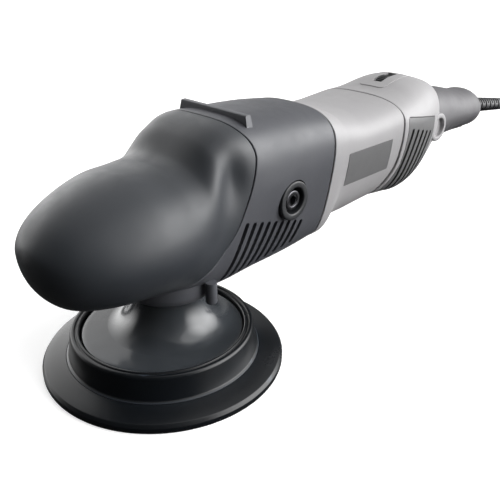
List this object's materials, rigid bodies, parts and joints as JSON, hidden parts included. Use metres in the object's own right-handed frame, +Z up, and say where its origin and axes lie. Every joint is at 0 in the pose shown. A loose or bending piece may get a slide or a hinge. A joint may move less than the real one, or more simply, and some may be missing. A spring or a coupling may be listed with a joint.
{
  "type": "dual action polisher",
  "caption": "Mains dual action polisher: rubber-covered gear head, ribbed vents, barrel motor body, rear handle with coiled cord, and an eccentric round backing plate below the head.",
  "frame": {"origin": "centre of the backing plate's working face, with the plate at the front of its orbit", "axes": "+Z up, out of the working face towards the body; +Y along the tool towards the rear handle and cord; +X to the left of an operator who holds the rear handle and looks forward"},
  "size_m": [0.2574, 0.634, 0.1538],
  "materials": {
    "hood_rubber": "satin",
    "dark_housing": "satin",
    "light_housing": "satin",
    "handle_rubber": "matte",
    "grey_trim": "satin",
    "black_plastic": "satin",
    "pad_rubber": "satin",
    "gloss_disc": "gloss",
    "hook_fabric": "matte",
    "cast_aluminium": "cast",
    "steel": "satin",
    "black_steel": "satin",
    "brass": "satin",
    "copper": "satin",
    "carbon": "matte",
    "circuit_board": "satin",
    "cord_rubber": "satin"
  },
  "bodies": {
    "housing": {"spindle_bearing_lower": "steel", "spindle_bearing_upper": "steel", "head_cover": "hood_rubber", "gear_housing": "dark_housing", "hand_stop_bar": "dark_housing", "handle_port_left": "black_plastic", "handle_port_right": "black_plastic", "port_screw_left": "black_steel", "port_screw_right": "black_steel", "gear_case": "cast_aluminium", "snout": "dark_housing", "spin_shroud": "pad_rubber", "rotor_bearing_front": "steel", "rotor_bearing_rear": "steel", "fan_baffle": "black_plastic", "stator_core": "steel", "field_coil_front": "copper", "field_coil_rear": "copper", "rear_bridge": "black_plastic", "brush_holder_left": "brass", "brush_holder_right": "brass", "carbon_brush_left": "carbon", "carbon_brush_right": "carbon", "motor_housing": "light_housing", "badge_left": "grey_trim", "badge_right": "grey_trim", "rear_housing": "light_housing", "vent_grille_left": "grey_trim", "vent_grille_right": "grey_trim", "dial_bezel": "light_housing", "speed_board": "circuit_board", "rear_handle": "handle_rubber", "trigger_pin": "steel", "switch_module": "black_plastic", "strain_relief": "cord_rubber", "power_cord": "cord_rubber", "cord_coil": "cord_rubber", "plug_body": "cord_rubber", "plug_pin_left": "steel", "plug_pin_right": "steel"},
    "pad": {"hook_face": "hook_fabric", "rubber_base": "pad_rubber", "backing_plate": "pad_rubber", "hub_disc": "gloss_disc", "pad_spindle": "steel"},
    "eccentric": {"output_shaft": "steel", "counterweight": "brass", "crown_gear": "steel", "pad_bearing": "steel"},
    "rotor": {"rotor_shaft": "steel", "pinion_gear": "steel", "fan": "black_plastic", "armature_core": "steel", "armature_winding_front": "copper", "armature_winding_rear": "copper", "commutator": "copper"},
    "trigger": {"trigger": "black_plastic"},
    "lock_button": {"lock_button": "black_plastic"},
    "speed_dial": {"speed_dial": "black_plastic"}
  },
  "joints": [
    {"name": "eccentric_spin", "type": "hinge", "parent": "housing", "child": "eccentric", "pos_m": [0, 0.0075, 0], "axis": [0, 0, 1], "continuous": true},
    {"name": "pad_spin", "type": "hinge", "parent": "eccentric", "child": "pad", "pos_m": [0, 0, 0], "axis": [0, 0, 1], "continuous": true},
    {"name": "rotor_spin", "type": "hinge", "parent": "housing", "child": "rotor", "pos_m": [0, 0, 0.1], "axis": [0, 1, 0], "continuous": true},
    {"name": "trigger_press", "type": "hinge", "parent": "housing", "child": "trigger", "pos_m": [0, 0.292, 0.0835], "axis": [1, 0, 0], "range_deg": [0, 5], "stiffness_Nm_per_rad": 2, "springref_deg": -2.86},
    {"name": "lock_press", "type": "slide", "parent": "housing", "child": "lock_button", "axis": [1, 0, 0], "range_m": [0, 0.0022], "stiffness_N_per_m": 400, "springref_m": -0.002},
    {"name": "dial_turn", "type": "hinge", "parent": "housing", "child": "speed_dial", "pos_m": [0, 0.236, 0.1316], "axis": [1, 0, 0], "range_deg": [-135, 135]}
  ],
  "couplings": [
    {"joint": "rotor_spin", "follows": "eccentric_spin", "ratio": 4.1111}
  ]
}
